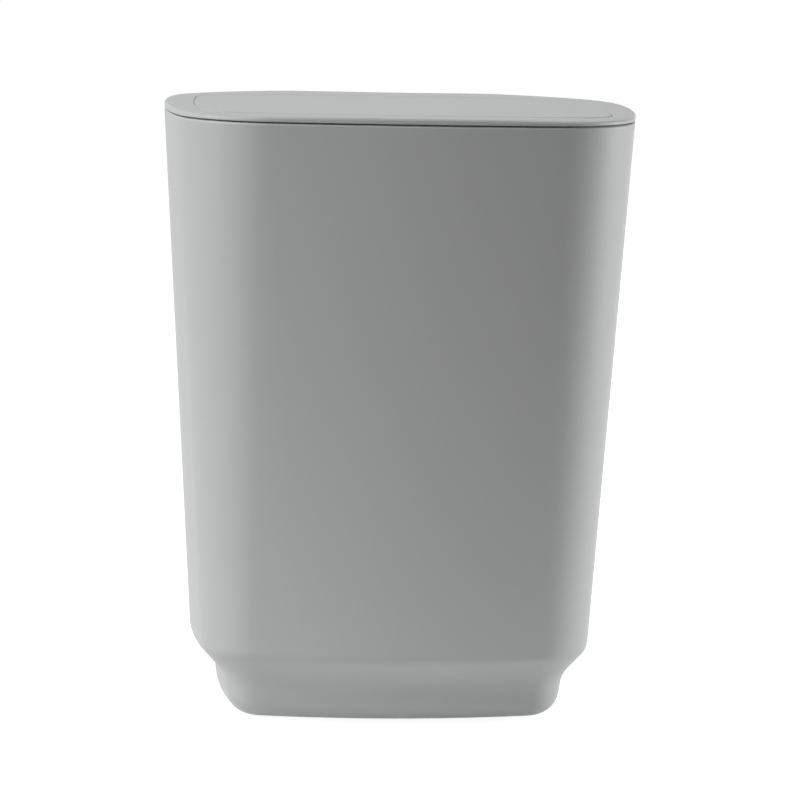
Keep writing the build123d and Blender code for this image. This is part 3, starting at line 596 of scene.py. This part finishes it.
# Four black rubber discs, pressed into round pockets under the foot.
pad_places = [(side * PAD_X, end * PAD_Y, 0) for side in (-1, 1) for end in (-1, 1)]
pad_corners = [(0, 0.1), (4.4, 0.1), (4.6, 0), (6, 0), (6, 1.6), (0, 1.6)]
pad_profile = profile_of(pad_corners, [0.05, 0.05, 0.5, 0.1])
turned_set("foot_pads", pad_profile, pad_places, black_rubber, columns=72)

# Two rubber buffers on their ledges, where the flap lands when it is pressed.
buffer_places = [(side * 30, -54.699, 218.525) for side in (-1, 1)]
buffer_profile = profile_of([(0, 0), (2, 0), (2, 1.2), (0, 1.2)], [0.05, 0.4])
turned_set("flap_buffers", buffer_profile, buffer_places, black_rubber, columns=40)


# Zinc-plated self-tapping screws with pan heads and cross recesses, all driven upwards.
HEAD = 1.3
SHANK_RADIUS = 0.72
THREAD_RADIUS = 0.9
THREAD_PITCH = 0.6


def screw_profile(length):
    """Pan head below the seat, then a shank with thread ridges and a blunt point."""
    head = rounded_line([(0, 0), (1.9, 0), (1.9, HEAD), (0.9, HEAD)], [0.75, 0.08], 5)
    line = [tuple(point) for point in head]
    reach = HEAD + 0.25
    while reach < HEAD + length - 0.75:
        line += [(SHANK_RADIUS, reach), (THREAD_RADIUS, reach + 0.22), (THREAD_RADIUS, reach + 0.26),
                 (SHANK_RADIUS, reach + 0.48)]
        reach += THREAD_PITCH
    return line + [(0.7, HEAD + length - 0.5), (0.3, HEAD + length), (0, HEAD + length)]


screw_sets = [  # node, places, height of the seat, length under the head
    ("arm_screws", [(side * 38, y) for side in (-1, 1) for y in (32.246, 26.486)], 220.0, 6.8),
    ("liner_screws", [(side * 59, y) for side in (-1, 1) for y in (-43, -3.75)], 222.2, 4.6),
    ("strike_screws", [(side * 10, -50) for side in (-1, 1)], 221.2, 5.6),
    ("latch_screws", [(side * 11, -61.2) for side in (-1, 1)], 215.278, 5.8),
]
for node, places, seat, length in screw_sets:
    places = [(*place, seat - HEAD) for place in places]
    turned_set(node, screw_profile(length), places, zinc_steel, columns=32, recess=(0.5, 1.8, 0.7))

# Turned steel pins, one through each hinge: a headed end, a plain shaft and a groove for its clip.
pin_corners = [(0, 0), (2.4, 0), (2.4, 0.8), (1.25, 0.8), (1.25, 17.3), (0.95, 17.3), (0.95, 17.94),
               (1.25, 17.94), (1.25, 18.7), (0, 18.7)]
pin_profile = profile_of(pin_corners, [0.27, 0.08, 0.05, 0.04, 0.04, 0.04, 0.04, 0.2], 3)
HINGE_Y = 58.5
HINGE_Z = 220.2
for side, node in ((1, "hinge_pin_right"), (-1, "hinge_pin_left")):
    spot = Matrix.Translation(Vector((side * 26.0, HINGE_Y, HINGE_Z)) * MM)
    lay = spot @ Matrix.Rotation(side * pi / 2, 4, "Y")
    turned_set(node, pin_profile, [(0, 0, 0)], pin_steel, lay=lay)

# Nickel-plated magnet, let into the head of the latch plunger.
magnet_profile = profile_of([(0, 0), (3, 0), (3, 2.6), (0, 2.6)], [0.2, 0.2], 3)
LATCH_Y = -50
turned_set("latch_magnet", magnet_profile, [(0, LATCH_Y, 218.35)], magnet_nickel, columns=64)


# ---------------------------------------------------------------- springs
# Drawn spring wire. The two hinge springs are five close turns on their pins, with one leg behind
# the arm and one under the plate; the latch has one open spring inside its plunger.
wire_tree, source, sink = new_tree("bent_wire", {
    "Wire Radius": "Float", "Sides": "Int", "Material": "Material",
})
path = put(wire_tree, "GeometryNodeMeshToCurve", {"Mesh": source.outputs["Geometry"]})
ring = put(wire_tree, "GeometryNodeCurvePrimitiveCircle", {
    "Resolution": source.outputs["Sides"], "Radius": source.outputs["Wire Radius"],
})
tube = put(wire_tree, "GeometryNodeCurveToMesh", {
    "Curve": path.outputs[0], "Profile Curve": ring.outputs[0], "Fill Caps": True,
})
close_tree(wire_tree, source, sink, tube.outputs[0])
spring_steel = steel("spring_steel", (0.50, 0.50, 0.50), 0.28, (2500, 2500, 600))


def bent_wire(node, path, radius, finish):
    """A node's wire, along a path of points in mm."""
    links = [(place, place + 1) for place in range(len(path) - 1)]
    piece = points_object(node + "_wire", [point * MM for point in path], links)
    grow(piece, wire_tree, **{"Wire Radius": radius * MM, "Sides": 16, "Material": finish})
    outwards(piece.data)
    crisp(piece.data, radians(50))
    stand_for(piece, node)
    return piece


STEPS = 32
TURNS = 5
PITCH = 0.86
COIL_RADIUS = 2.0
COIL_START = 34.8
for side, node in ((1, "hinge_spring_right"), (-1, "hinge_spring_left")):
    coil = []
    for step in range(TURNS * STEPS + 1):
        angle = 2 * pi * step / STEPS
        along = COIL_START - PITCH * step / STEPS
        coil.append(Vector((along, HINGE_Y + COIL_RADIUS * cos(angle), HINGE_Z + COIL_RADIUS * sin(angle))))
    slope = Vector((-PITCH, 0, 2 * pi * COIL_RADIUS)).normalized()
    leg_foot = coil[0] - slope * 9.0
    tip = rounded_line([leg_foot + Vector((3.2, 0, 0)), leg_foot, coil[0]], [0.6], 6)[:-1]
    path = tip + coil + [coil[-1] + slope * 5.5]
    path = [Vector((side * point.x, point.y, point.z)) for point in path]
    bent_wire(node, path, 0.4, spring_steel)

LATCH_TURNS = 6
LATCH_COIL_RADIUS = 2.2
LATCH_COIL_FOOT = 198.178
LATCH_COIL_HEIGHT = 10.272
coil = []
for step in range(LATCH_TURNS * STEPS + 1):
    angle = 2 * pi * step / STEPS
    height = LATCH_COIL_FOOT + LATCH_COIL_HEIGHT * step / (LATCH_TURNS * STEPS)
    coil.append(Vector((LATCH_COIL_RADIUS * cos(angle), LATCH_Y + LATCH_COIL_RADIUS * sin(angle), height)))
latch_coil = bent_wire("latch_spring", coil, 0.3, spring_steel)
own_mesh(latch_coil)


# ---------------------------------------------------------------- lid frame
# Lift-off frame moulded in the same grey plastic: a flat top with a small rounding outside, a
# fine seam round the flap, and the plug, collar, lugs, bosses and ledges below. The top's edge
# falls away a little more at the corners and along the rear.
def own_shape(node, finish, change=None, angle=radians(28)):
    """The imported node's shape as one knitted mesh, with even shading over its flats and roundings."""
    packed = frame["nodes"][node]
    mesh = packed.data.copy()
    mesh.transform(packed.matrix_world)
    mesh.materials.clear()
    mesh.materials.append(finish)
    outwards(mesh)
    if change:
        for vertex in mesh.vertices:
            vertex.co = change(vertex.co)
    crisp(mesh, angle)
    piece = bpy.data.objects.new(node + "_moulding", mesh)
    scene.collection.objects.link(piece)
    even = piece.modifiers.new("even", "WEIGHTED_NORMAL")
    even.mode = "FACE_AREA"
    even.keep_sharp = True
    settle(piece)
    stand_for(piece, node)


LID_TOP = 228.2 * MM
CORNER_FALL = 0.55 * MM
EXTRA_FALL_BEHIND = 0.3 * MM
REAR_FALL = 0.4 * MM


def rising(value, start, run):
    """0 below a start, 1 a run further on, and even in between."""
    return min(1, max(0, (value - start) / run))


def falling_corners(point):
    """Lower the top's outer few millimetres towards the corners, and a little along the rear."""
    reach = hypot(point.x / (TOP_WIDTH / 2), point.y / (TOP_DEPTH / 2))
    towards_corner = rising(reach, 1.02, 0.16)
    near_top = rising(point.z, LID_TOP - 2 * MM, 1 * MM)
    behind = rising(point.y, 0, 40 * MM)
    rear_middle = max(0, 1 - (point.x / (45 * MM)) ** 2) * rising(point.y, 64 * MM, 4 * MM)
    corner_fall = CORNER_FALL + EXTRA_FALL_BEHIND * behind
    lowered = point.copy()
    lowered.z -= near_top * (towards_corner * corner_fall + REAR_FALL * rear_middle)
    return lowered


own_shape("lid_frame", body_plastic, falling_corners)


# ---------------------------------------------------------------- flap
# The flush flap in the same plastic: a thin plate with a skirt and screw bosses below it. It
# fills its opening closely at the sides.
SIDE_WIDENING = 0.25 * MM
SIDE_START = 68 * MM


def close_sides(point):
    """Move the flap's sides out towards the seam."""
    widened = point.copy()
    if abs(point.x) > SIDE_START:
        widened.x += SIDE_WIDENING if point.x > 0 else -SIDE_WIDENING
    return widened


own_shape("push_flap", body_plastic, close_sides, radians(12))

# ---------------------------------------------------------------- plain inner mouldings
# The flap's liner and the two gooseneck arms, in a slightly darker plain grey.
inner_plastic = moulded_plastic("inner_plastic", (0.42, 0.43, 0.425), 0.42, 0.0012, 0.00002)
for node in ("flap_liner", "hinge_arm_left", "hinge_arm_right"):
    own_shape(node, inner_plastic)

# ---------------------------------------------------------------- latch
# Push latch: a black acetal housing and cover, a white plunger with its heart-shaped cam groove,
# and a bent wire that follows the groove.
latch_plastic = moulded_plastic("latch_plastic", (0.09, 0.09, 0.095), 0.33, 0.0015, 0.00001)
slider_plastic = moulded_plastic("slider_plastic", (0.80, 0.80, 0.78), 0.30, 0.0015, 0.00001)
own_shape("latch_housing", latch_plastic)
own_shape("latch_cover", latch_plastic)
own_shape("latch_slider", slider_plastic)
own_shape("latch_pin", spring_steel, angle=radians(50))

# ---------------------------------------------------------------- small stamped metal pieces
# The strike plate under the flap, stamped from zinc-plated sheet, and the clips on the pins' ends.
own_shape("strike_plate", zinc_steel)
own_shape("pin_clips", spring_steel)
